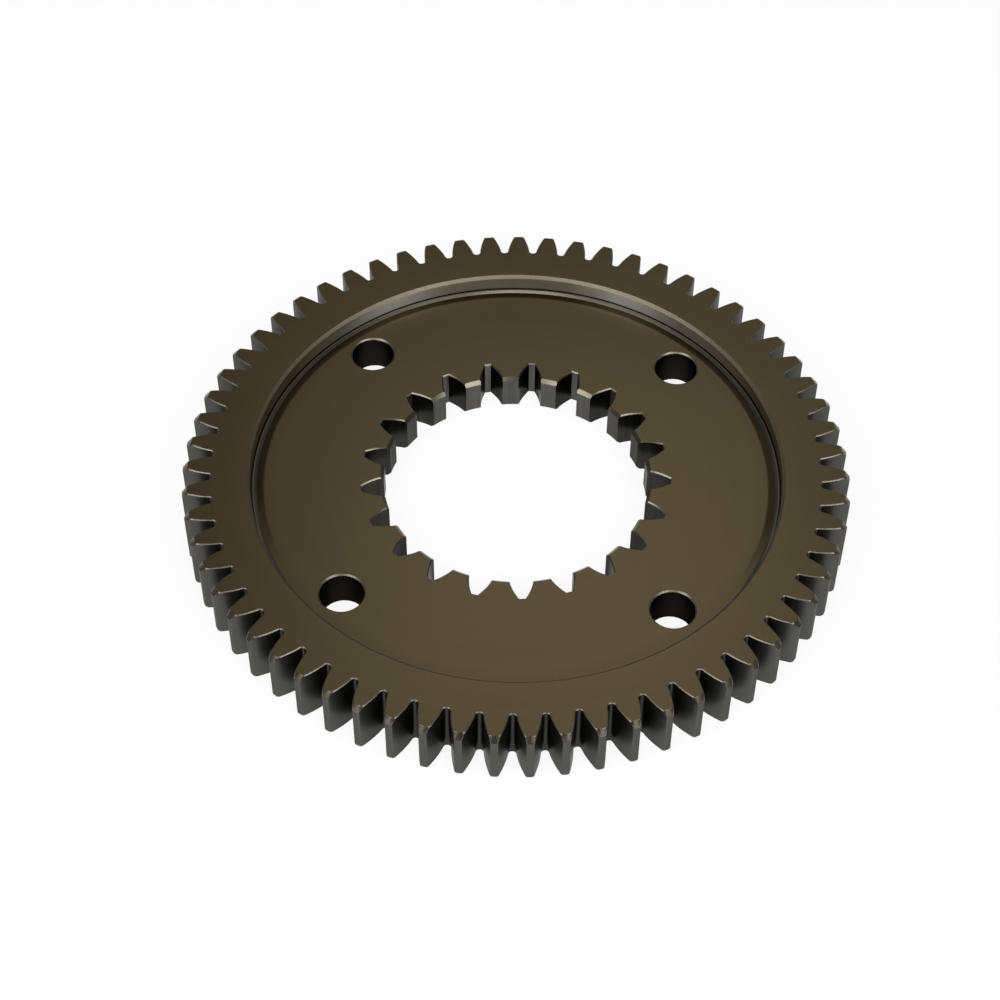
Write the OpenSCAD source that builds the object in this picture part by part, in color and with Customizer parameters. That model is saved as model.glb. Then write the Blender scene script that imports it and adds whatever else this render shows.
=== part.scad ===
// Spur gear with a dished web, a ring of bolt holes and a splined bore.
// It lies on its plain side with the axis along Z and the origin in the middle of that side.

/* [Teeth] */
// Number of teeth on the rim
teeth = 63; // [54:1:90]
// Module: pitch diameter over the number of teeth
tooth_module = 3.5; // [3.25:0.25:5]
// Pressure angle of the tooth flanks
pressure_angle = 20; // [18:0.5:22]
// Height of a tooth above the pitch circle, in modules
addendum_factor = 1.1; // [0.9:0.05:1.2]
// Depth of a tooth space below the pitch circle, in modules
dedendum_factor = 1.8; // [1.3:0.05:1.85]
// Play between the flanks of two meshing gears
backlash = 0.2; // [0:0.05:0.4]
// Roundness of the tooth roots, as a share of a full round
root_roundness = 0.9; // [0.3:0.05:0.95]
// Break on the corners of a tooth tip
tip_break = 0.3; // [0.1:0.05:0.6]
// Chamfer on the tooth tips at the recessed side, measured inwards
tip_chamfer = 1.8; // [0.5:0.1:4]
// Chamfer on the tooth tips at the recessed side, measured along the axis
tip_chamfer_height = 2; // [0.5:0.1:4]
// Chamfer on the tooth tips at the plain side
plain_tip_chamfer = 0.4; // [0.2:0.1:2]
// Chamfer along the edges of the tooth spaces at the recessed side
space_chamfer = 0.3; // [0.2:0.1:1]
// Direction of a tooth that lines up with a spline groove
marked_tooth_angle = 104; // [0:0.5:360]

/* [Rim and web] */
// Face width: length of the teeth along the axis
face_width = 20.8; // [18:0.2:40]
// Width of the rim between the tooth roots and the recess
rim_wall = 12.9; // [8:0.1:18]
// Thickness of the web
web_thickness = 14.4; // [8:0.2:16]
// Chamfer on the edge of the recess
recess_chamfer = 1; // [0.3:0.1:2]
// Width of the narrow relief cut at the foot of the recess wall
relief_width = 0.6; // [0.3:0.1:1.2]
// Depth of that relief below the lip
relief_depth = 0.8; // [0.3:0.1:1]
// Width of the flat top of the lip beside the relief
lip_width = 0.5; // [0.3:0.1:1]
// Height of the lip above the floor of the recess
lip_height = 0.6; // [0.3:0.1:1]
// Width of the slope from the lip down to the floor
slope_width = 0.9; // [0.4:0.1:1.5]

/* [Bolt holes] */
// Number of bolt holes
bolt_holes = 4; // [3:1:6]
// Diameter of a bolt hole
bolt_hole_diameter = 15; // [8:0.5:18]
// Floor left between a bolt hole and the wall of the recess
bolt_hole_to_wall = 6.4; // [5.6:0.2:9]
// Direction of the first bolt hole
bolt_hole_angle = 45; // [0:1:90]
// Chamfer on both rims of a bolt hole
bolt_hole_chamfer = 0.5; // [0.2:0.1:1]

/* [Splined bore] */
// Number of spline grooves
spline_grooves = 21; // [16:1:24]
// Diameter across the lands between the grooves
land_diameter = 91; // [82:0.5:93]
// Diameter across the bottoms of the grooves
groove_diameter = 106.5; // [98:0.5:108.5]
// Diameter of the pitch circle of the splines
spline_pitch_diameter = 99; // [95:0.5:101]
// Pressure angle of the spline flanks
spline_pressure_angle = 25; // [22.5:0.5:30]
// Width of a groove on the pitch circle of the splines
groove_width = 6; // [5:0.1:6.8]
// Chamfer on both ends of the lands
land_chamfer = 1.2; // [0.4:0.1:2]
// Chamfer along the edges of the spline grooves at the recessed side
groove_chamfer = 0.4; // [0.2:0.1:0.8]

/* [Hidden] */
$fn = 180;

// Straight steps along a tooth flank, a root fillet and a groove flank
flank_steps = 5;
fillet_steps = 3;
groove_steps = 4;
// Distance by which a cutter runs past the surface that it cuts
overrun = 1;

steel = [0.32, 0.28, 0.21];

// Radii of the toothed rim
pitch_r = tooth_module * teeth / 2;
tip_r = pitch_r + tooth_module * addendum_factor;
root_r = pitch_r - tooth_module * dedendum_factor;
tooth_pitch = 360 / teeth;
tooth_width = PI * tooth_module / 2 - backlash;

// Radii and heights of the recess
recess_r = root_r - rim_wall;
lip_r = recess_r - relief_width;
slope_r = lip_r - lip_width;
floor_r = slope_r - slope_width;
lip_z = web_thickness + lip_height;

// Bolt circle and bore
bolt_hole_r = bolt_hole_diameter / 2;
bolt_circle_r = recess_r - bolt_hole_to_wall - bolt_hole_r;
land_r = land_diameter / 2;
groove_r = groove_diameter / 2;
spline_pitch_r = spline_pitch_diameter / 2;

// A point at a radius and an angle
function polar(r, a) = [r * cos(a), r * sin(a)];

// A point turned about the axis
function turned(p, a) = [p.x * cos(a) - p.y * sin(a), p.x * sin(a) + p.y * cos(a)];

// Involute function, in degrees
function involute(a) = tan(a) * 180 / PI - a;

// Slope of an involute flank against the radius, at radius r
function flank_slope(r, base_r) = acos(min(1, base_r / r));

// Angle at radius r from the middle of a tooth to its flank
function half_angle(r, pitch_circle_r, width, slope) =
    width / pitch_circle_r * 90 / PI + involute(slope)
    - involute(flank_slope(r, pitch_circle_r * cos(slope)));

function tooth_half_angle(r) = half_angle(r, pitch_r, tooth_width, pressure_angle);

function groove_half_angle(r) = half_angle(r, spline_pitch_r, groove_width, spline_pressure_angle);

// Half the width of a tooth space near its foot, which a full round would fill
foot_r = root_r + tooth_module / 3;
foot_slope = flank_slope(foot_r, pitch_r * cos(pressure_angle));
foot_space = (tooth_pitch / 2 - tooth_half_angle(foot_r)) * PI / 180 * foot_r * cos(foot_slope);

// Root fillet: its centre touches the root circle and the flank
root_fillet = root_roundness * foot_space;
fillet_r = root_r + root_fillet;
fillet_slope = flank_slope(fillet_r, pitch_r * cos(pressure_angle));
fillet_angle = tooth_half_angle(fillet_r) + root_fillet / (fillet_r * cos(fillet_slope)) * 180 / PI;
fillet_end_r = fillet_r - root_fillet * sin(fillet_slope);
flank_end_r = tip_r - tip_break;

function fillet_point(sweep) =
    polar(fillet_r - root_fillet * cos(sweep), fillet_angle)
    + polar(root_fillet * sin(sweep), fillet_angle - 90);

// One side of a tooth that points along X, from the root to the tip
tooth_side = concat(
    [for (i = [0:fillet_steps - 1]) fillet_point((90 - fillet_slope) * i / fillet_steps)],
    [for (i = [0:flank_steps])
        let (r = fillet_end_r + (flank_end_r - fillet_end_r) * i / flank_steps)
        polar(r, tooth_half_angle(r))],
    [polar(tip_r, tooth_half_angle(tip_r) - tip_break / tip_r * 180 / PI)]
);

tooth = concat(
    [for (p = tooth_side) [p.x, -p.y]],
    [for (i = [len(tooth_side) - 1:-1:0]) tooth_side[i]]
);

// Outline of the toothed rim
module toothed_outline() {
    rotate(marked_tooth_angle)
        polygon([for (k = [0:teeth - 1]) for (p = tooth) turned(p, k * tooth_pitch)]);
}

// Half section of the dish that is turned out of the top face
module recess_section() {
    translate([0, lip_z])
        square([recess_r, face_width]);
    translate([lip_r, lip_z - relief_depth])
        square([relief_width, relief_depth + overrun]);
    polygon([
        [0, web_thickness],
        [floor_r, web_thickness],
        [slope_r, lip_z],
        [slope_r, lip_z + overrun],
        [0, lip_z + overrun]
    ]);
    polygon([
        [recess_r - overrun, face_width - recess_chamfer - overrun],
        [recess_r + recess_chamfer + overrun, face_width + overrun],
        [recess_r - overrun, face_width + overrun]
    ]);
}

// Half section of the blank that the teeth are cut from
module blank_section() {
    chamfer_run = tip_chamfer_height * (tip_chamfer + overrun) / tip_chamfer;
    difference() {
        polygon([
            [0, 0],
            [tip_r - plain_tip_chamfer, 0],
            [tip_r + overrun, plain_tip_chamfer + overrun],
            [tip_r + overrun, face_width - chamfer_run],
            [tip_r - tip_chamfer, face_width],
            [0, face_width]
        ]);
        recess_section();
    }
}

// Point of the flank beside a tooth space that points along X
function space_point(r) = polar(r, tooth_pitch / 2 - tooth_half_angle(r));

// Point of the flank of a spline groove that points along X
function groove_point(r) = polar(r, groove_half_angle(r));

// Bar along the X axis with one side sloped to break an edge of a face at height top
module sloped_bar(length, reach, top, chamfer) {
    low = top - chamfer - overrun;
    high = top + overrun;
    rotate([90, 0, 90])
        linear_extrude(length, center = true)
            polygon([
                [-reach, low],
                [-overrun, low],
                [chamfer + overrun, high],
                [-reach, high]
            ]);
}

// Sloped bar along the line through two points, with the edge that it breaks on its left
module edge_bar(from, to, reach, top, chamfer) {
    translate(from)
        rotate(atan2(to.y - from.y, to.x - from.x))
            sloped_bar(2 * reach, reach, top, chamfer);
}

// Tapered plug that breaks the top edges of one tooth space, which points along X
module space_plug() {
    // Twice the depth of the space, so that each bar runs well past it
    reach = 2 * (tip_r - root_r);
    foot = space_point(fillet_end_r);
    head = space_point(flank_end_r);
    intersection() {
        edge_bar(foot, head, reach, face_width, space_chamfer);
        mirror([0, 1, 0])
            edge_bar(foot, head, reach, face_width, space_chamfer);
        translate([root_r, 0, 0])
            rotate(90)
                sloped_bar(reach, reach, face_width, space_chamfer);
    }
}

// Tapered plug that breaks the top edges of one spline groove, which points along X
module groove_plug() {
    // Twice the depth of the groove, so that each bar runs well past it
    reach = 2 * (groove_r - land_r);
    mouth = groove_point(land_r);
    middle = groove_point((land_r + groove_r) / 2);
    bottom = groove_point(groove_r);
    intersection() {
        edge_bar(mouth, middle, reach, web_thickness, groove_chamfer);
        edge_bar(middle, bottom, reach, web_thickness, groove_chamfer);
        mirror([0, 1, 0])
            edge_bar(mouth, middle, reach, web_thickness, groove_chamfer);
        mirror([0, 1, 0])
            edge_bar(middle, bottom, reach, web_thickness, groove_chamfer);
        translate([bottom.x, 0, 0])
            rotate(-90)
                sloped_bar(reach, reach, web_thickness, groove_chamfer);
    }
}

// Splined bore with its lands chamfered at both ends and its groove edges broken at the recessed side
module splined_bore() {
    step = (groove_r - land_r) / groove_steps;
    groove_side = [for (i = [0:groove_steps]) groove_point(land_r + i * step)];
    inner_point = polar(land_r - overrun, groove_half_angle(land_r));
    side = concat([inner_point], groove_side);
    translate([0, 0, -overrun])
        linear_extrude(face_width + 2 * overrun)
            rotate(marked_tooth_angle) {
                circle(land_r);
                for (k = [0:spline_grooves - 1])
                    rotate(k * 360 / spline_grooves)
                        polygon(concat(
                            [for (p = side) [p.x, -p.y]],
                            [for (i = [len(side) - 1:-1:0]) side[i]]
                        ));
            }
    chamfered_ends(land_r, land_chamfer);
    for (k = [0:spline_grooves - 1])
        rotate(marked_tooth_angle + k * 360 / spline_grooves)
            groove_plug();
}

// Cones that break both rims of a hole through the web
module chamfered_ends(r, chamfer) {
    span = chamfer + overrun;
    translate([0, 0, -overrun])
        cylinder(h = span, r1 = r + span, r2 = r);
    translate([0, 0, web_thickness - chamfer])
        cylinder(h = span, r1 = r, r2 = r + span);
}

// One bolt hole through the web
module bolt_hole() {
    translate([0, 0, -overrun])
        cylinder(h = web_thickness + 2 * overrun, r = bolt_hole_r);
    chamfered_ends(bolt_hole_r, bolt_hole_chamfer);
}

// The gear, in one piece
module gear() {
    color(steel)
        difference() {
            intersection() {
                rotate_extrude()
                    blank_section();
                linear_extrude(face_width)
                    toothed_outline();
            }
            for (k = [0:teeth - 1])
                rotate(marked_tooth_angle + (k + 0.5) * tooth_pitch)
                    space_plug();
            splined_bore();
            for (k = [0:bolt_holes - 1])
                rotate(bolt_hole_angle + k * 360 / bolt_holes)
                    translate([bolt_circle_r, 0, 0])
                        bolt_hole();
        }
}

gear();
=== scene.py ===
"""Looks of the spur gear: a toothed, dished and splined steel disc on a white studio floor."""
import math

import bmesh
import bpy
from mathutils import Matrix, Vector
from mathutils.geometry import delaunay_2d_cdt


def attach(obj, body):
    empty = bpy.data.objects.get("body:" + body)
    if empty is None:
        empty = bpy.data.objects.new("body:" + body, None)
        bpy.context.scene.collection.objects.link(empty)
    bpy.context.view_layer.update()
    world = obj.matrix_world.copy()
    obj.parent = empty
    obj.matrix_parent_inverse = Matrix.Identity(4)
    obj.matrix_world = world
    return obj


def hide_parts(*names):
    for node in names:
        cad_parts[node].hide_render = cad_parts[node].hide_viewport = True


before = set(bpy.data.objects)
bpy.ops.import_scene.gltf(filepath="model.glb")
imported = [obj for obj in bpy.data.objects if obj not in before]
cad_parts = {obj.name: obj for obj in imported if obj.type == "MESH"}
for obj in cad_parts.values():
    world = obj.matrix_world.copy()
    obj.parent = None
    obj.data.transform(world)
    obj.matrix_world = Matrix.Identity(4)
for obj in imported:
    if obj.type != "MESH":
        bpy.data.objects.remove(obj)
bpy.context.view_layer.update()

MM = 0.001

# Teeth, in millimetres and degrees
TEETH = 63
TOOTH_MODULE = 3.5
PRESSURE_ANGLE = 20
ADDENDUM_FACTOR = 1.1
DEDENDUM_FACTOR = 1.8
BACKLASH = 0.2
FOOT_HEIGHT = TOOTH_MODULE / 3
ROOT_ROUNDNESS = 0.9
TIP_BREAK = 0.3
TIP_CHAMFER = 1.8
TIP_CHAMFER_HEIGHT = 2.0
PLAIN_TIP_CHAMFER = 0.4
SPACE_CHAMFER = 0.3
MARKED_TOOTH_ANGLE = 104

# Rim and web
FACE_WIDTH = 20.8
RIM_WALL = 12.9
WEB_THICKNESS = 14.4
RECESS_CHAMFER = 1.0
RELIEF_WIDTH = 0.6
RELIEF_DEPTH = 0.8
LIP_WIDTH = 0.5
LIP_HEIGHT = 0.6
SLOPE_WIDTH = 0.9

# Painted shadow of the recess wall, a dark band on the floor beside the lip: its width and the width
# over which it fades inwards, then the line at which it ends towards the front and the length over
# which it fades there
BAND_WIDTH = 2.8
BAND_FADE = 0.8
BAND_FRONT_Y = -45.0
BAND_FRONT_FADE = 30.0

# Painted reflection of the lamps on the far side of the recess wall, brightest in two patches: the
# middle between them, how far each lies from it and the width over which it fades, then the line at
# which the far side starts and the length over which it comes in
REFLECTION_MIDDLE_X = -7.0
REFLECTION_SPREAD = 42.0
REFLECTION_FADE = 25.0
FAR_SIDE_Y = 40.0
FAR_SIDE_FADE = 30.0

# Bolt holes
BOLT_HOLES = 4
BOLT_HOLE_DIAMETER = 15.0
BOLT_HOLE_TO_WALL = 6.4
BOLT_HOLE_ANGLE = 45
BOLT_HOLE_CHAMFER = 0.5

# Splined bore
SPLINE_GROOVES = 21
LAND_DIAMETER = 91.0
GROOVE_DIAMETER = 106.5
SPLINE_PITCH_DIAMETER = 99.0
SPLINE_PRESSURE_ANGLE = 25
GROOVE_WIDTH = 6.0
LAND_CHAMFER = 1.2
GROOVE_CHAMFER = 0.4

# Margin by which the mesh stays inside the box of the solid
BOX_MARGIN = 0.001

# Mesh steps along each curve, and tries that find a point on an inset flank
FLANK_STEPS = 7
FILLET_STEPS = 5
GROOVE_STEPS = 5
LAND_STEPS = 4
RIM_STEPS = 4
HOLE_STEPS = 56
FLANK_TRIES = 4
GROOVE_TRIES = 6

# Joining of the mesh: distance below which points merge, and angle from which an edge is sharp
MERGE_DISTANCE = 0.004
SHARP_ANGLE = 28

# Strips of faces between the levels of a tooth, spline or hole, counted from the plain side up
STRAIGHT_STRIP = 1
TOP_STRIP = 3

# Finishes, in the order of the gear's material slots
GROUND_FACE = 0
TOOTH_FLANK = 1
EDGE_BREAK = 2
TURNED_WALL = 3
SPLINE_FLANK = 4
HOLE_WALL = 5
# Floor beside the lip, which carries a painted shadow
PAINTED_SHADOW_BAND = 6
TURNED_CHAMFER = 7
SPLINE_LAND = 8
RECESS_EDGE = 9
LIP_TOP = 10

# Colours of the finishes, each from its darkest spots to its lightest
GROUND_COLOURS = ((0.068, 0.052, 0.0265), (0.0925, 0.0715, 0.0378))
# Tooth flanks, from the painted shade at the roots to the grey near the tips
TOOTH_FLANK_COLOURS = ((0.03, 0.029, 0.026), (0.12, 0.119, 0.110))
EDGE_BREAK_COLOURS = ((0.105, 0.09, 0.068), (0.2, 0.18, 0.146))
RECESS_EDGE_COLOURS = ((0.118, 0.098, 0.066), (0.215, 0.19, 0.142))
LIP_TOP_COLOURS = ((0.085, 0.071, 0.049), (0.145, 0.124, 0.09))
CHAMFER_COLOURS = ((0.082, 0.071, 0.054), (0.15, 0.134, 0.106))
# The recess wall, from its brown to the light grey of its painted reflection
WALL_COLOURS = ((0.17, 0.125, 0.058), (0.74, 0.73, 0.69))
# Groove flanks, near black with painted shade
SPLINE_FLANK_COLOURS = ((0.022, 0.0215, 0.020), (0.055, 0.054, 0.050))
SPLINE_LAND_COLOURS = ((0.055, 0.054, 0.050), (0.125, 0.123, 0.115))
# Bolt holes and the relief beside the lip, near black with painted shade
HOLE_WALL_COLOURS = ((0.011, 0.0096, 0.0082), (0.026, 0.0238, 0.0205))
# Colour of the painted shadow on the floor beside the lip
PAINTED_SHADOW_COLOUR = (0.0205, 0.0142, 0.0055)

# Detail of the patterns
SOFT_DETAIL = 2.0
RING_DETAIL = 3.0
BROAD_RING_DETAIL = 1.0
RING_ROUGHNESS = 0.6

# Sockets that share their name with another one of the node, by number
FIRST = 0
SECOND = 1
MIX_LOW = 6
MIX_HIGH = 7
MIX_RESULT = 2
WHOLE_FIRST = 2
WHOLE_SECOND = 3
SHADER_SHARE = 0
SHADER_BELOW = 1
SHADER_ABOVE = 2

# Floor, in metres, its grey, and the share of plain white that the camera sees in it
FLOOR_HALF = 6.0
FLOOR_DROP = 0.0001
FLOOR_GREY = 0.9
FLOOR_WHITENESS = 0.9

# Lamps: turn and rise in degrees, distance and size in metres, power in watts
SOFTBOXES = (
    ("front_left_softbox", -132, 44, 1.4, 0.8, 11.0),
    ("front_right_softbox", -46, 44, 1.4, 0.8, 11.0),
    ("back_softbox", 88.5, 55.5, 1.5, 0.5, 1.6),
    ("top_softbox", -90, 75, 1.5, 0.5, 3.0),
)

# Grey of the surround at each height, from the horizon to overhead
SURROUND_GREYS = ((0.0, 0.25), (0.6, 0.2), (0.95, 0.12))

# Camera, in the gear's frame
CAMERA_AIM = (-5.407, 1.047, 0.0)
CAMERA_DISTANCE = 791.0
CAMERA_RISE = 49.873
CAMERA_ROLL = 0.423
CAMERA_TURN = 3.057
CAMERA_FOCUS = 2263.3
PHOTO_WIDTH = 1000
SENSOR_WIDTH = 36.0
NEAREST_SEEN = 0.01
FARTHEST_SEEN = 50.0

# Sizes that follow from those above
pitch_r = TOOTH_MODULE * TEETH / 2
tip_r = pitch_r + TOOTH_MODULE * ADDENDUM_FACTOR - BOX_MARGIN
root_r = pitch_r - TOOTH_MODULE * DEDENDUM_FACTOR
tooth_pitch = math.tau / TEETH
tooth_width = math.pi * TOOTH_MODULE / 2 - BACKLASH
base_r = pitch_r * math.cos(math.radians(PRESSURE_ANGLE))
recess_r = root_r - RIM_WALL
lip_r = recess_r - RELIEF_WIDTH
slope_r = lip_r - LIP_WIDTH
floor_r = slope_r - SLOPE_WIDTH
band_r = floor_r - BAND_WIDTH
lip_z = WEB_THICKNESS + LIP_HEIGHT
bolt_hole_r = BOLT_HOLE_DIAMETER / 2
bolt_rim_r = bolt_hole_r + BOLT_HOLE_CHAMFER
bolt_circle_r = recess_r - BOLT_HOLE_TO_WALL - bolt_hole_r
land_r = LAND_DIAMETER / 2
groove_r = GROOVE_DIAMETER / 2
spline_pitch_r = SPLINE_PITCH_DIAMETER / 2
spline_base_r = spline_pitch_r * math.cos(math.radians(SPLINE_PRESSURE_ANGLE))
spline_pitch = math.tau / SPLINE_GROOVES
marked_tooth = math.radians(MARKED_TOOTH_ANGLE)


def polar(r, a):
    """The point at a radius and an angle."""
    return Vector((r * math.cos(a), r * math.sin(a)))


def involute(a):
    """The involute function of an angle."""
    return math.tan(a) - a


def flank_slope(r, base):
    """The slope of an involute flank against the radius."""
    return math.acos(min(1.0, base / r))


def half_angle(r, circle_r, width, slope):
    """The angle at radius r from the middle of a tooth to its flank."""
    lean = math.radians(slope)
    at_r = flank_slope(r, circle_r * math.cos(lean))
    return width / circle_r / 2 + involute(lean) - involute(at_r)


def tooth_half_angle(r):
    """The half angle of a rim tooth."""
    return half_angle(r, pitch_r, tooth_width, PRESSURE_ANGLE)


def groove_half_angle(r):
    """The half angle of a spline groove."""
    return half_angle(r, spline_pitch_r, GROOVE_WIDTH, SPLINE_PRESSURE_ANGLE)


# Root fillet, which touches the root circle and the flank
foot_r = root_r + FOOT_HEIGHT
foot_angle = tooth_pitch / 2 - tooth_half_angle(foot_r)
foot_space = foot_angle * foot_r * math.cos(flank_slope(foot_r, base_r))
root_fillet = ROOT_ROUNDNESS * foot_space
fillet_r = root_r + root_fillet
fillet_slope = flank_slope(fillet_r, base_r)
fillet_angle = tooth_half_angle(fillet_r) + root_fillet / (fillet_r * math.cos(fillet_slope))
fillet_end_r = fillet_r - root_fillet * math.sin(fillet_slope)


def flank_point(r, inset):
    """A point of the flank at radius r, moved into the tooth by inset."""
    a = tooth_half_angle(r)
    outward = polar(1, a - flank_slope(r, base_r) + math.pi / 2)
    return polar(r, a) - outward * inset


def flank_point_at(end_r, inset):
    """The point of an inset flank that lies at radius end_r."""
    r = end_r
    for _ in range(FLANK_TRIES):
        r += end_r - flank_point(r, inset).length
    return flank_point(r, inset)


def tooth_side(end_r, inset):
    """One side of a tooth along X, from the middle of the space to the middle of the tip."""
    points = [polar(root_r - inset, tooth_pitch / 2)]
    centre = polar(fillet_r, fillet_angle)
    for i in range(FILLET_STEPS + 1):
        sweep = (math.pi / 2 - fillet_slope) * i / FILLET_STEPS
        inward = polar(-math.cos(sweep), fillet_angle)
        sideways = polar(math.sin(sweep), fillet_angle - math.pi / 2)
        points.append(centre + (inward + sideways) * (root_fillet + inset))
    flank_end_r = end_r - TIP_BREAK
    for i in range(1, FLANK_STEPS):
        r = fillet_end_r + (flank_end_r - fillet_end_r) * i / FLANK_STEPS
        points.append(flank_point(r, inset))
    points.append(flank_point_at(flank_end_r, inset))
    corner = flank_point_at(end_r, inset)
    corner_angle = math.atan2(corner.y, corner.x) - TIP_BREAK / end_r
    points.append(polar(end_r, corner_angle))
    points.append(polar(end_r * math.cos(corner_angle), 0))
    return points


def mirrored_loop(side):
    """The points of a side and of its mirror image, from the low angle to the high one."""
    low = [Vector((p.x, -p.y)) for p in side]
    return low + side[-2::-1]


# Levels of a tooth from the plain side up: height, tip radius and inset
cone_r = tip_r - TIP_CHAMFER * (1 - SPACE_CHAMFER / TIP_CHAMFER_HEIGHT)
TOOTH_LEVELS = [
    (0.0, tip_r - PLAIN_TIP_CHAMFER, 0.0),
    (PLAIN_TIP_CHAMFER, tip_r, 0.0),
    (FACE_WIDTH - TIP_CHAMFER_HEIGHT, tip_r, 0.0),
    (FACE_WIDTH - SPACE_CHAMFER, cone_r, 0.0),
    (FACE_WIDTH, tip_r - TIP_CHAMFER, SPACE_CHAMFER),
]
tooth_loops = [mirrored_loop(tooth_side(end_r, inset)) for _, end_r, inset in TOOTH_LEVELS]
tooth_heights = [level[0] for level in TOOTH_LEVELS]

# Half section of the dish, from the rim face down to the floor
dish_section = [
    (recess_r + RECESS_CHAMFER, FACE_WIDTH),
    (recess_r, FACE_WIDTH - RECESS_CHAMFER),
    (recess_r, lip_z),
    (recess_r, lip_z - RELIEF_DEPTH),
    (lip_r, lip_z - RELIEF_DEPTH),
    (lip_r, lip_z),
    (slope_r, lip_z),
    (floor_r, WEB_THICKNESS),
    (band_r, WEB_THICKNESS),
]
dish_finishes = [
    RECESS_EDGE,
    TURNED_WALL,
    # The relief beside the lip takes the painted shade of the hole walls
    HOLE_WALL,
    HOLE_WALL,
    HOLE_WALL,
    LIP_TOP,
    TURNED_CHAMFER,
    # floor beside the lip, with its painted shadow
    PAINTED_SHADOW_BAND,
]


def groove_point(r, widening):
    """A point of a groove's flank at radius r, moved out of the groove by widening."""
    a = groove_half_angle(r)
    outward = polar(1, a - flank_slope(r, spline_base_r) + math.pi / 2)
    return polar(r, a) + outward * widening


def groove_radius(start, widening, measure, goal):
    """The radius along a groove's flank at which a measure of the widened flank meets its goal."""
    r = start
    for _ in range(GROOVE_TRIES):
        r += goal - measure(groove_point(r, widening))
    return r


def spline_side(start_r, widening):
    """One side of a groove along X, from the middle of a land to the middle of the groove."""
    bottom_x = polar(groove_r, groove_half_angle(groove_r)).x + widening
    mouth_r = groove_radius(start_r, widening, lambda p: p.length, start_r)
    bottom_r = groove_radius(groove_r, widening, lambda p: p.x, bottom_x)
    mouth = groove_point(mouth_r, widening)
    edge = math.atan2(mouth.y, mouth.x)
    points = []
    for i in range(LAND_STEPS):
        share = i / LAND_STEPS
        points.append(polar(start_r, spline_pitch / 2 * (1 - share) + edge * share))
    for i in range(GROOVE_STEPS + 1):
        r = mouth_r + (bottom_r - mouth_r) * i / GROOVE_STEPS
        points.append(groove_point(r, widening))
    points.append(Vector((bottom_x, 0)))
    return points


# Levels of the splines from the plain side up: height, radius of the lands, widening of the grooves
SPLINE_LEVELS = [
    (0.0, land_r + LAND_CHAMFER, 0.0),
    (LAND_CHAMFER, land_r, 0.0),
    (WEB_THICKNESS - LAND_CHAMFER, land_r, 0.0),
    (WEB_THICKNESS - GROOVE_CHAMFER, land_r + LAND_CHAMFER - GROOVE_CHAMFER, 0.0),
    (WEB_THICKNESS, land_r + LAND_CHAMFER, GROOVE_CHAMFER),
]
spline_loops = [mirrored_loop(spline_side(r, widening)) for _, r, widening in SPLINE_LEVELS]
spline_heights = [level[0] for level in SPLINE_LEVELS]

# Levels of a bolt hole from the plain side up: height and radius
HOLE_LEVELS = [
    (0.0, bolt_rim_r),
    (BOLT_HOLE_CHAMFER, bolt_hole_r),
    (WEB_THICKNESS - BOLT_HOLE_CHAMFER, bolt_hole_r),
    (WEB_THICKNESS, bolt_rim_r),
]


def circle_loop(r, steps, first=0.0, centre=Vector((0, 0))):
    """Points round a circle, without the first one again at the end."""
    return [centre + polar(r, first + math.tau * i / steps) for i in range(steps)]


hole_loops = [circle_loop(r, HOLE_STEPS) for _, r in HOLE_LEVELS]
hole_heights = [level[0] for level in HOLE_LEVELS]


class Patch:
    """A mesh in the making: strips of faces between loops, each face with its finish."""

    def __init__(self):
        self.points = []
        self.faces = []
        self.finishes = []

    def add_points(self, loop, z):
        """Adds a loop at one height and gives the numbers of its points."""
        first = len(self.points)
        for p in loop:
            self.points.append((p.x * MM, p.y * MM, z * MM))
        return range(first, len(self.points))

    def add_face(self, corners, finish):
        """Adds one face."""
        self.faces.append(corners)
        self.finishes.append(finish)

    def add_strips(self, loops, heights, finish_of, closed=False):
        """Joins loops of equal length, from the first to the last."""
        rows = [self.add_points(loop, z) for loop, z in zip(loops, heights)]
        count = len(rows[0])
        steps = count if closed else count - 1
        for strip in range(len(rows) - 1):
            low = rows[strip]
            high = rows[strip + 1]
            for i in range(steps):
                j = (i + 1) % count
                self.add_face((low[i], low[j], high[j], high[i]), finish_of(strip, i))

    def make_object(self, name):
        """Turns the patch into an object whose faces carry their finish as an attribute."""
        mesh = bpy.data.meshes.new(name)
        mesh.from_pydata(self.points, [], self.faces)
        finish = mesh.attributes.new("finish", "INT", "FACE")
        finish.data.foreach_set("value", self.finishes)
        obj = bpy.data.objects.new(name, mesh)
        bpy.context.scene.collection.objects.link(obj)
        return obj


def steps_from_end(loop, i):
    """How many faces lie between face i of a strip and the nearer end of the strip."""
    last = len(loop) - 2
    return min(i, last - i)


def tooth_finish(strip, i):
    """Finish of a face of a tooth: the tip is chamfered above, and so are the edges of the spaces."""
    on_tip = steps_from_end(tooth_loops[0], i) > FILLET_STEPS + FLANK_STEPS
    if on_tip and strip > STRAIGHT_STRIP:
        return TURNED_CHAMFER
    return EDGE_BREAK if strip == TOP_STRIP else TOOTH_FLANK


def spline_finish(strip, i):
    """Finish of a face of the splines: lands have chamfered ends, grooves a chamfered upper edge."""
    from_end = steps_from_end(spline_loops[0], i)
    on_land = from_end < LAND_STEPS
    on_bottom = from_end >= LAND_STEPS + GROOVE_STEPS
    if on_land:
        return SPLINE_LAND if strip == STRAIGHT_STRIP else TURNED_CHAMFER
    if on_bottom:
        return EDGE_BREAK if strip == TOP_STRIP else SPLINE_LAND
    return TURNED_CHAMFER if strip == TOP_STRIP else SPLINE_FLANK


def hole_finish(strip, i):
    """Finish of a face of a bolt hole: both rims are chamfered."""
    return HOLE_WALL if strip == STRAIGHT_STRIP else EDGE_BREAK


def grey(shade):
    """A grey as a socket's colour."""
    return (shade, shade, shade, 1.0)


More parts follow.
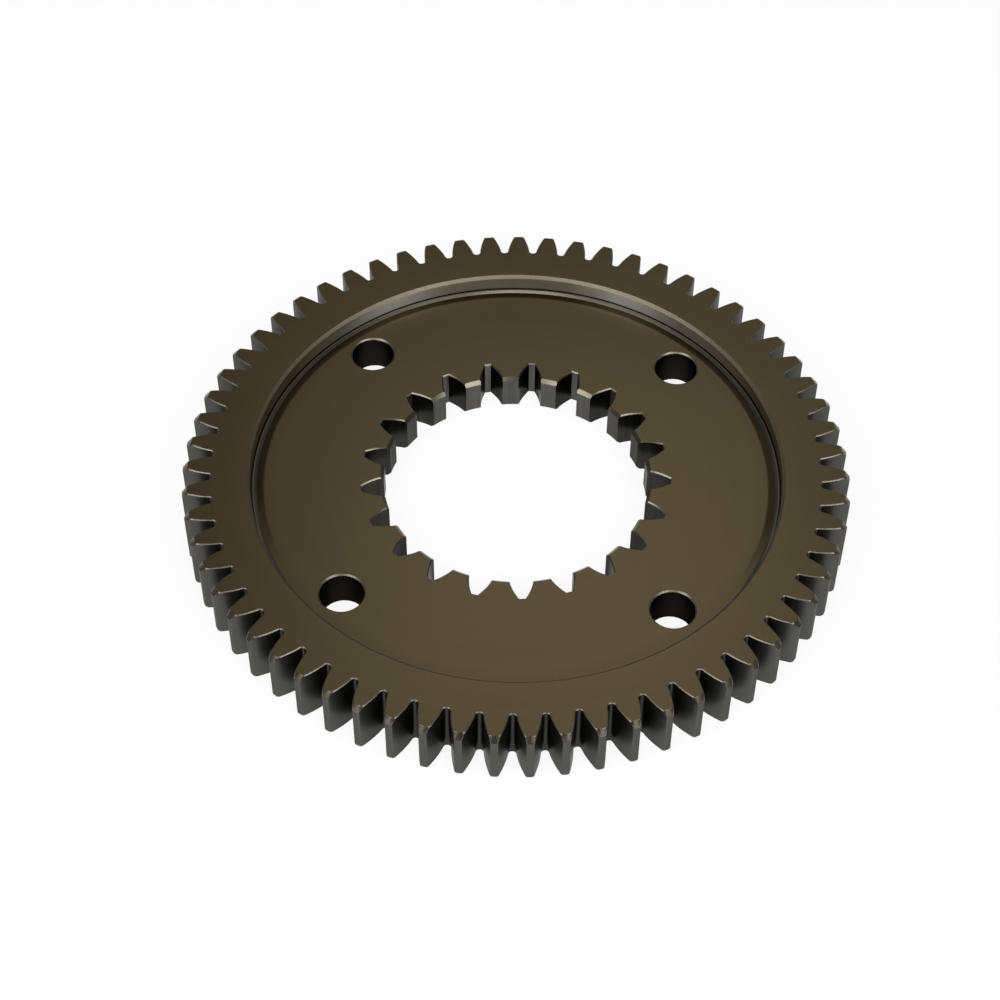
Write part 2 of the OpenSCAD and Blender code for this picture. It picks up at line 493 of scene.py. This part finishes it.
class Tree:
    """A node tree in the making, with one way to add a node."""

    def __init__(self, tree):
        self.tree = tree

    def node(self, kind, settings=None, sockets=None, output=0):
        """Adds a node, sets it up, feeds its sockets and gives one of its outputs as a Term."""
        made = self.tree.nodes.new(kind)
        for name, value in (settings or {}).items():
            if name == "stops":
                self.set_stops(made.color_ramp, value)
            else:
                setattr(made, name, value)
        for key, value in (sockets or {}).items():
            self.feed(made.inputs[key], value)
        return Term(self, made.outputs[output]) if made.outputs else made

    def feed(self, socket, value):
        """Links a Term to a socket, or sets a plain value on it."""
        if isinstance(value, Term):
            self.tree.links.new(value.socket, socket)
        else:
            socket.default_value = value

    @staticmethod
    def set_stops(ramp, stops):
        """Gives a colour ramp its stops."""
        while len(ramp.elements) < len(stops):
            ramp.elements.new(1.0)
        for element, (place, colour) in zip(ramp.elements, stops):
            element.position = place
            element.color = colour


class Term:
    """A socket's value in an expression."""

    def __init__(self, owner, socket):
        self.owner = owner
        self.socket = socket

    def math(self, operation, first, second=None):
        """Adds a Math node."""
        sockets = {FIRST: first}
        if second is not None:
            sockets[SECOND] = second
        return self.owner.node("ShaderNodeMath", {"operation": operation}, sockets)

    def __add__(self, other):
        return self.math("ADD", self, other)

    def __radd__(self, other):
        return self.math("ADD", other, self)

    def __sub__(self, other):
        return self.math("SUBTRACT", self, other)

    def __rsub__(self, other):
        return self.math("SUBTRACT", other, self)

    def __mul__(self, other):
        return self.math("MULTIPLY", self, other)

    def __rmul__(self, other):
        return self.math("MULTIPLY", other, self)

    def __truediv__(self, other):
        return self.math("DIVIDE", self, other)

    def __rtruediv__(self, other):
        return self.math("DIVIDE", other, self)

    def root(self):
        """The square root."""
        return self.math("SQRT", self)

    def clamped(self):
        """The value held between 0 and 1."""
        return self.owner.node("ShaderNodeClamp", None, {"Value": self})

    def size(self):
        """The value without its sign."""
        return self.math("ABSOLUTE", self)

    def most(self, other):
        """The larger of two values."""
        return self.math("MAXIMUM", self, other)


class Finish(Tree):
    """A material of the gear, with the places on the gear that its patterns follow."""

    def __init__(self, name):
        self.material = bpy.data.materials.new(name)
        self.material.use_nodes = True
        super().__init__(self.material.node_tree)
        self.tree.nodes.clear()
        self.place = self.node("ShaderNodeTexCoord", None, None, "Object")
        split = self.node("ShaderNodeSeparateXYZ", None, {"Vector": self.place}).socket.node
        self.x = Term(self, split.outputs["X"])
        self.y = Term(self, split.outputs["Y"])
        self.z = Term(self, split.outputs["Z"])
        self.radius = (self.x * self.x + self.y * self.y).root()

    def cloud(self, size):
        """Soft patches about as large as size, in millimetres."""
        sockets = {"Vector": self.place, "Scale": 1 / (size * MM), "Detail": SOFT_DETAIL}
        return self.node("ShaderNodeTexNoise", {"noise_dimensions": "3D"}, sockets)

    def rings(self, along, spacing, detail=RING_DETAIL):
        """Marks that a cutter leaves, spaced along one value, with the spacing in millimetres."""
        sockets = {"W": along / (spacing * MM), "Scale": 1.0, "Detail": detail}
        sockets["Roughness"] = RING_ROUGHNESS
        return self.node("ShaderNodeTexNoise", {"noise_dimensions": "1D"}, sockets)

    def streaks(self, height_size, turn_size):
        """Patches that are stretched along the axis, with their sizes in millimetres."""
        across = 1 / (turn_size * MM)
        upwards = 1 / (height_size * MM)
        factors = {FIRST: self.place, SECOND: (across, across, upwards)}
        stretched = self.node("ShaderNodeVectorMath", {"operation": "MULTIPLY"}, factors)
        sockets = {"Vector": stretched, "Scale": 1.0, "Detail": SOFT_DETAIL}
        return self.node("ShaderNodeTexNoise", {"noise_dimensions": "3D"}, sockets)

    def blend(self, factor, low, high):
        """A colour between two, each a Term or a plain colour."""
        low, high = (c if isinstance(c, Term) else (*c, 1.0) for c in (low, high))
        sockets = {"Factor": factor, MIX_LOW: low, MIX_HIGH: high}
        return self.node("ShaderNodeMix", {"data_type": "RGBA"}, sockets, MIX_RESULT)

    def surface(self, colour, roughness, metallic, marks=None, depth=0.0, glance=1.0):
        """Closes the material: marks are depth millimetres deep, glance is the glancing shine."""
        sockets = {"Base Color": colour, "Roughness": roughness, "Metallic": metallic}
        sockets["Specular Tint"] = grey(glance)
        if marks is not None:
            bump = {"Strength": 1.0, "Distance": depth * MM, "Height": marks}
            sockets["Normal"] = self.node("ShaderNodeBump", None, bump)
        shader = self.node("ShaderNodeBsdfPrincipled", None, sockets)
        self.node("ShaderNodeOutputMaterial", None, {"Surface": shader})
        return self.material


def ground_looks(finish):
    """Colour, roughness and turning marks of the flat faces."""
    mark_share = 0.25
    band_share = 0.25
    patch_share = 0.5
    smoothest = 0.26
    roughening = 0.06
    marks = finish.rings(finish.radius, spacing=0.35)
    bands = finish.rings(finish.radius, spacing=6.0, detail=BROAD_RING_DETAIL)
    patches = finish.cloud(size=30.0)
    tone = (mark_share * marks + band_share * bands + patch_share * patches).clamped()
    roughness = smoothest + roughening * marks + roughening * patches
    return finish.blend(tone, *GROUND_COLOURS), roughness, marks


def make_ground_face():
    """Dark satin steel of the flat faces."""
    finish = Finish("ground_face_steel")
    colour, roughness, marks = ground_looks(finish)
    return finish.surface(colour, roughness, metallic=0.9, marks=marks, depth=0.004)


def make_painted_shadow_band():
    """Steel of the floor beside the lip, with a painted shadow of the recess wall that fades out
    towards the front.
    """
    finish = Finish("painted_shadow_band_steel")
    colour, roughness, marks = ground_looks(finish)
    # Painted shadow: darkest beside the lip, fading inwards and towards the front
    inwards = ((finish.radius - band_r * MM) / (BAND_FADE * MM)).clamped()
    frontwards = ((finish.y - BAND_FRONT_Y * MM) / (BAND_FRONT_FADE * MM)).clamped()
    shaded = finish.blend(inwards * frontwards, colour, PAINTED_SHADOW_COLOUR)
    return finish.surface(shaded, roughness, metallic=0.9, marks=marks, depth=0.004)


def make_tooth_flank():
    """Neutral grey steel of the ground flanks, with painted shade that darkens them towards the
    roots.
    """
    painted_root_shade_share = 0.55
    mark_share = 0.25
    patch_share = 0.2
    smoothest = 0.24
    mark_roughening = 0.1
    patch_roughening = 0.08
    finish = Finish("tooth_flank_steel")
    marks = finish.streaks(height_size=20.0, turn_size=0.6)
    patches = finish.cloud(size=12.0)
    # Painted shade: the flank darkens from the tip towards the root
    rise = ((finish.radius - root_r * MM) / ((tip_r - root_r) * MM)).clamped()
    tone = (painted_root_shade_share * rise + mark_share * marks + patch_share * patches).clamped()
    colour = finish.blend(tone, *TOOTH_FLANK_COLOURS)
    roughness = smoothest + mark_roughening * marks + patch_roughening * patches
    return finish.surface(colour, roughness, metallic=0.95, marks=marks, depth=0.005, glance=0.5)


def make_bare_edge(name, colours, smoothest, metallic):
    """Light tan steel of an edge that was worn bare."""
    mark_share = 0.5
    patch_share = 0.5
    roughening = 0.15
    finish = Finish(name)
    marks = finish.cloud(size=1.2)
    patches = finish.cloud(size=20.0)
    tone = (mark_share * marks + patch_share * patches).clamped()
    colour = finish.blend(tone, *colours)
    return finish.surface(colour, smoothest + roughening * marks, metallic)


def make_edge_break():
    """Steel of the small edges."""
    return make_bare_edge("edge_break_steel", EDGE_BREAK_COLOURS, smoothest=0.32, metallic=0.9)


def make_recess_edge():
    """Steel of the edge of the recess, which is duller."""
    return make_bare_edge("recess_edge_steel", RECESS_EDGE_COLOURS, smoothest=0.43, metallic=0.93)


def make_lip_top():
    """Steel of the top of the lip, dull enough to catch light from all round."""
    return make_bare_edge("lip_top_steel", LIP_TOP_COLOURS, smoothest=0.4, metallic=0.76)


def make_turned_chamfer():
    """Smooth turned steel of the chamfers at the tips, the lip and the splines."""
    smoothest = 0.24
    roughening = 0.08
    finish = Finish("turned_chamfer_steel")
    patches = finish.cloud(size=20.0)
    colour = finish.blend(patches, *CHAMFER_COLOURS)
    return finish.surface(colour, smoothest + roughening * patches, metallic=0.98)


def make_turned_wall():
    """Turned steel of the recess wall: brown at the sides, with a painted reflection lightening the
    far side in two patches.
    """
    brightest = 1.1
    between = 0.28
    streak_base = 0.7
    streak_share = 0.5
    mark_share = 0.06
    smoothest = 0.3
    mark_roughening = 0.12
    streak_roughening = 0.1
    finish = Finish("turned_wall_steel")
    marks = finish.rings(finish.z, spacing=0.3)
    streaks = finish.streaks(height_size=30.0, turn_size=12.0)
    # Painted reflection of the lamps: it lightens the far side of the wall, most in two patches,
    # broken by streaks
    beside = (finish.x - REFLECTION_MIDDLE_X * MM).size() - REFLECTION_SPREAD * MM
    patches = brightest - beside.size() / (REFLECTION_FADE * MM)
    far = ((finish.y - FAR_SIDE_Y * MM) / (FAR_SIDE_FADE * MM)).clamped()
    painted_reflection = far * patches.most(between) * (streak_base + streak_share * streaks)
    tone = (painted_reflection + mark_share * marks).clamped()
    colour = finish.blend(tone, *WALL_COLOURS)
    roughness = smoothest + mark_roughening * marks + streak_roughening * streaks
    return finish.surface(colour, roughness, metallic=0.78, marks=marks, depth=0.06, glance=0.4)


def make_broached(name, colours, metallic, glance):
    """Steel that a broach cut, with its marks along the axis."""
    middle = 0.5
    contrast = 1.8
    mark_share = 0.6
    patch_share = 0.4
    smoothest = 0.2
    roughening = 0.1
    finish = Finish(name)
    marks = finish.streaks(height_size=30.0, turn_size=0.7)
    patches = finish.cloud(size=10.0)
    uneven = mark_share * marks + patch_share * patches - middle
    tone = (middle + contrast * uneven).clamped()
    colour = finish.blend(tone, *colours)
    roughness = smoothest + roughening * marks
    return finish.surface(colour, roughness, metallic, marks, depth=0.006, glance=glance)


def make_spline_flank():
    """Steel of the groove flanks, painted near black as shade in the grooves."""
    return make_broached("spline_flank_steel", SPLINE_FLANK_COLOURS, metallic=0.97, glance=0.45)


def make_spline_land():
    """Grey steel of the lands and of the groove bottoms."""
    return make_broached("spline_land_steel", SPLINE_LAND_COLOURS, metallic=0.95, glance=0.4)


def make_hole_wall():
    """Steel of the bolt holes and of the narrow relief beside the lip, painted near black as shade.
    """
    mark_share = 0.5
    patch_share = 0.5
    smoothest = 0.34
    roughening = 0.12
    finish = Finish("hole_wall_steel")
    marks = finish.rings(finish.z, spacing=0.4)
    patches = finish.cloud(size=8.0)
    tone = (mark_share * marks + patch_share * patches).clamped()
    colour = finish.blend(tone, *HOLE_WALL_COLOURS)
    roughness = smoothest + roughening * marks
    return finish.surface(colour, roughness, metallic=0.98, marks=marks, depth=0.005, glance=0.15)


finishes = [
    make_ground_face(),
    make_tooth_flank(),
    make_edge_break(),
    make_turned_wall(),
    make_spline_flank(),
    make_hole_wall(),
    make_painted_shadow_band(),
    make_turned_chamfer(),
    make_spline_land(),
    make_recess_edge(),
    make_lip_top(),
]

PATTERN_INPUTS = (
    ("Count", "NodeSocketInt"),
    ("First Angle", "NodeSocketFloat"),
    ("Circle Radius", "NodeSocketFloat"),
)


def make_round_pattern():
    """Geometry nodes that repeat a piece evenly round the axis and give each face its finish."""
    group = bpy.data.node_groups.new("round_pattern", "GeometryNodeTree")
    group.interface.new_socket("Geometry", in_out="INPUT", socket_type="NodeSocketGeometry")
    for name, kind in PATTERN_INPUTS:
        group.interface.new_socket(name, in_out="INPUT", socket_type=kind)
    group.interface.new_socket("Geometry", in_out="OUTPUT", socket_type="NodeSocketGeometry")
    tree = Tree(group)
    given = tree.node("NodeGroupInput").socket.node
    piece = Term(tree, given.outputs["Geometry"])
    count = Term(tree, given.outputs["Count"])
    first = Term(tree, given.outputs["First Angle"])
    circle_r = Term(tree, given.outputs["Circle Radius"])
    turn = first + tree.node("GeometryNodeInputIndex") * (math.tau / count)
    across = circle_r * turn.math("COSINE", turn)
    along = circle_r * turn.math("SINE", turn)
    place = tree.node("ShaderNodeCombineXYZ", None, {"X": across, "Y": along})
    rotation = tree.node("ShaderNodeCombineXYZ", None, {"Z": turn})
    points = tree.node("GeometryNodePoints", None, {"Count": count, "Position": place})
    copies = {"Points": points, "Instance": piece, "Rotation": rotation}
    shape = tree.node("GeometryNodeInstanceOnPoints", None, copies)
    shape = tree.node("GeometryNodeRealizeInstances", None, {"Geometry": shape})
    named = {"data_type": "INT"}
    finish = tree.node("GeometryNodeInputNamedAttribute", named, {"Name": "finish"})
    for number, material in enumerate(finishes):
        alike = {"data_type": "INT", "operation": "EQUAL"}
        compared = {WHOLE_FIRST: finish, WHOLE_SECOND: number}
        chosen = tree.node("FunctionNodeCompare", alike, compared)
        dressed = {"Geometry": shape, "Selection": chosen, "Material": material}
        shape = tree.node("GeometryNodeSetMaterial", None, dressed)
    tree.node("NodeGroupOutput", None, {"Geometry": shape})
    return group


round_pattern = make_round_pattern()


def repeat(patch, name, count, first_angle, circle_r=0.0):
    """Repeats a patch round the axis and gives the result as a plain mesh."""
    obj = patch.make_object(name)
    modifier = obj.modifiers.new("pattern", "NODES")
    modifier.node_group = round_pattern
    values = {"Count": count, "First Angle": first_angle, "Circle Radius": circle_r * MM}
    for item in round_pattern.interface.items_tree:
        if item.in_out == "INPUT" and item.name in values:
            modifier[item.identifier] = values[item.name]
    bpy.context.view_layer.update()
    evaluated = obj.evaluated_get(bpy.context.evaluated_depsgraph_get())
    mesh = bpy.data.meshes.new_from_object(evaluated)
    obj.modifiers.clear()
    bpy.data.objects.remove(obj)
    return mesh


def turned_loop(loop, count, first_angle):
    """The points of a loop that is repeated round the axis, each point once."""
    points = []
    for k in range(count):
        turn = Matrix.Rotation(first_angle + math.tau * k / count, 2)
        points.extend(turn @ p for p in loop[:-1])
    return points


def inside(point, loop):
    """Whether a point lies inside a closed loop."""
    found = False
    previous = loop[-1]
    for p in loop:
        if (p.y > point.y) != (previous.y > point.y):
            crossing = p.x + (point.y - p.y) / (previous.y - p.y) * (previous.x - p.x)
            if point.x < crossing:
                found = not found
        previous = p
    return found


def flat_face(outer, holes, z):
    """A flat face between an outer loop and the loops of its holes, as a plain mesh."""
    points = []
    edges = []
    for loop in [outer, *holes]:
        first = len(points)
        points.extend(loop)
        count = len(loop)
        edges.extend((first + i, first + (i + 1) % count) for i in range(count))
    inside_only = 1
    tolerance = 1e-5
    corners, _, faces, *_ = delaunay_2d_cdt(points, edges, [], inside_only, tolerance)
    patch = Patch()
    patch.add_points(corners, z)
    for face in faces:
        middle = sum((corners[i] for i in face), Vector((0, 0))) / len(face)
        if inside(middle, outer) and not any(inside(middle, hole) for hole in holes):
            patch.add_face(tuple(face), GROUND_FACE)
    mesh = bpy.data.meshes.new("flat_face")
    mesh.from_pydata(patch.points, [], patch.faces)
    mesh.materials.append(finishes[GROUND_FACE])
    return mesh


def make_gear():
    """The whole gear as one closed mesh."""
    tooth = Patch()
    tooth.add_strips(tooth_loops, tooth_heights, tooth_finish)
    dish_angles = [tooth_pitch * (i / RIM_STEPS - 0.5) for i in range(RIM_STEPS + 1)]
    dish_loops = [[polar(r, a) for a in dish_angles] for r, _ in dish_section]
    dish_heights = [z for _, z in dish_section]
    tooth.add_strips(dish_loops, dish_heights, lambda strip, i: dish_finishes[strip])
    spline = Patch()
    spline.add_strips(spline_loops, spline_heights, spline_finish)
    hole = Patch()
    hole.add_strips(hole_loops, hole_heights, hole_finish, closed=True)
    first_hole = math.radians(BOLT_HOLE_ANGLE)
    meshes = [
        repeat(tooth, "toothed_rim", TEETH, marked_tooth),
        repeat(spline, "splined_bore", SPLINE_GROOVES, marked_tooth),
        repeat(hole, "bolt_holes", BOLT_HOLES, first_hole, bolt_circle_r),
    ]
    hole_rims = []
    for k in range(BOLT_HOLES):
        a = first_hole + math.tau * k / BOLT_HOLES
        hole_rims.append(circle_loop(bolt_rim_r, HOLE_STEPS, a, polar(bolt_circle_r, a)))
    top_bore = turned_loop(spline_loops[-1], SPLINE_GROOVES, marked_tooth)
    low_bore = turned_loop(spline_loops[0], SPLINE_GROOVES, marked_tooth)
    top_outline = turned_loop(tooth_loops[-1], TEETH, marked_tooth)
    low_outline = turned_loop(tooth_loops[0], TEETH, marked_tooth)
    dish_rim = turned_loop(dish_loops[0], TEETH, marked_tooth)
    floor_rim = turned_loop(dish_loops[-1], TEETH, marked_tooth)
    meshes.append(flat_face(top_outline, [dish_rim], FACE_WIDTH))
    meshes.append(flat_face(floor_rim, [top_bore, *hole_rims], WEB_THICKNESS))
    meshes.append(flat_face(low_outline, [low_bore, *hole_rims], 0.0))
    return join_meshes(meshes)


def join_meshes(meshes):
    """Joins the parts of the gear at their shared edges and turns every face outwards."""
    whole = bmesh.new()
    for mesh in meshes:
        slots = [finishes.index(m) if m else GROUND_FACE for m in mesh.materials]
        first = len(whole.faces)
        whole.from_mesh(mesh)
        whole.faces.ensure_lookup_table()
        for face in whole.faces[first:]:
            face.material_index = slots[face.material_index]
        bpy.data.meshes.remove(mesh)
    bmesh.ops.remove_doubles(whole, verts=whole.verts, dist=MERGE_DISTANCE * MM)
    bmesh.ops.recalc_face_normals(whole, faces=whole.faces)
    for face in whole.faces:
        face.smooth = True
    joined = bpy.data.meshes.new("spur_gear")
    whole.to_mesh(joined)
    whole.free()
    for material in finishes:
        joined.materials.append(material)
    joined.set_sharp_from_angle(angle=math.radians(SHARP_ANGLE))
    return joined


gear = bpy.data.objects.new("spur_gear", make_gear())
bpy.context.scene.collection.objects.link(gear)
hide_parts("gear")
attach(gear, "root")


def make_floor_material():
    """Floor that stays white to the camera and in reflections and keeps a soft shadow."""
    material = bpy.data.materials.new("studio_floor")
    material.use_nodes = True
    tree = Tree(material.node_tree)
    material.node_tree.nodes.clear()
    rays = tree.node("ShaderNodeLightPath").socket.node
    seen = Term(tree, rays.outputs["Is Camera Ray"])
    for ray in ("Is Glossy Ray", "Is Transmission Ray"):
        seen = seen.most(Term(tree, rays.outputs[ray]))
    matt = tree.node("ShaderNodeBsdfDiffuse", None, {"Color": grey(FLOOR_GREY)})
    white = tree.node("ShaderNodeEmission", None, {"Color": grey(1.0), "Strength": 1.0})
    layers = {SHADER_SHARE: FLOOR_WHITENESS * seen, SHADER_BELOW: matt, SHADER_ABOVE: white}
    mixed = tree.node("ShaderNodeMixShader", None, layers)
    tree.node("ShaderNodeOutputMaterial", None, {"Surface": mixed})
    return material


floor_corners = [
    (-FLOOR_HALF, -FLOOR_HALF, -FLOOR_DROP),
    (FLOOR_HALF, -FLOOR_HALF, -FLOOR_DROP),
    (FLOOR_HALF, FLOOR_HALF, -FLOOR_DROP),
    (-FLOOR_HALF, FLOOR_HALF, -FLOOR_DROP),
]
floor_mesh = bpy.data.meshes.new("studio_floor")
floor_mesh.from_pydata(floor_corners, [], [(0, 1, 2, 3)])
floor_mesh.materials.append(make_floor_material())
floor = bpy.data.objects.new("studio_floor", floor_mesh)
bpy.context.scene.collection.objects.link(floor)


def add_softbox(name, turn, rise, distance, size, power):
    """Adds a soft square lamp that faces the gear."""
    lamp = bpy.data.lights.new(name, "AREA")
    lamp.shape = "SQUARE"
    lamp.size = size
    lamp.energy = power
    obj = bpy.data.objects.new(name, lamp)
    a = math.radians(turn)
    e = math.radians(rise)
    away = Vector((math.cos(a) * math.cos(e), math.sin(a) * math.cos(e), math.sin(e)))
    obj.location = away * distance
    obj.rotation_euler = away.to_track_quat("Z", "Y").to_euler()
    bpy.context.scene.collection.objects.link(obj)


for softbox in SOFTBOXES:
    add_softbox(*softbox)


def make_world():
    """Soft studio surround, darker overhead than at the sides."""
    world = bpy.data.worlds.new("studio")
    world.use_nodes = True
    tree = Tree(world.node_tree)
    world.node_tree.nodes.clear()
    direction = tree.node("ShaderNodeTexCoord", None, None, "Generated")
    split = tree.node("ShaderNodeSeparateXYZ", None, {"Vector": direction}).socket.node
    height = Term(tree, split.outputs["Z"])
    stops = [(place, grey(shade)) for place, shade in SURROUND_GREYS]
    shade = tree.node("ShaderNodeValToRGB", {"stops": stops}, {"Fac": height})
    light = tree.node("ShaderNodeBackground", None, {"Color": shade, "Strength": 1.0})
    tree.node("ShaderNodeOutputWorld", None, {"Surface": light})
    return world


bpy.context.scene.world = make_world()


def add_camera():
    """Camera at the angle, distance and lens of the picture that the gear was measured from."""
    turn = Matrix.Rotation(math.radians(CAMERA_TURN), 3, "Z")
    rise = math.radians(CAMERA_RISE)
    roll = math.radians(CAMERA_ROLL)
    back = Vector((0, -math.cos(rise), math.sin(rise)))
    right = Vector((1, 0, 0))
    up = back.cross(right)
    rolled_right = right * math.cos(roll) + up * math.sin(roll)
    rolled_up = up * math.cos(roll) - right * math.sin(roll)
    axes = turn @ Matrix((rolled_right, rolled_up, back)).transposed()
    place = turn @ (Vector(CAMERA_AIM) + back * CAMERA_DISTANCE)
    data = bpy.data.cameras.new("camera")
    data.sensor_width = SENSOR_WIDTH
    data.lens = CAMERA_FOCUS / PHOTO_WIDTH * SENSOR_WIDTH
    data.clip_start = NEAREST_SEEN
    data.clip_end = FARTHEST_SEEN
    obj = bpy.data.objects.new("camera", data)
    obj.matrix_world = Matrix.Translation(place * MM) @ axes.to_4x4()
    bpy.context.scene.collection.objects.link(obj)
    bpy.context.scene.camera = obj


add_camera()
bpy.context.scene.view_settings.view_transform = "Standard"
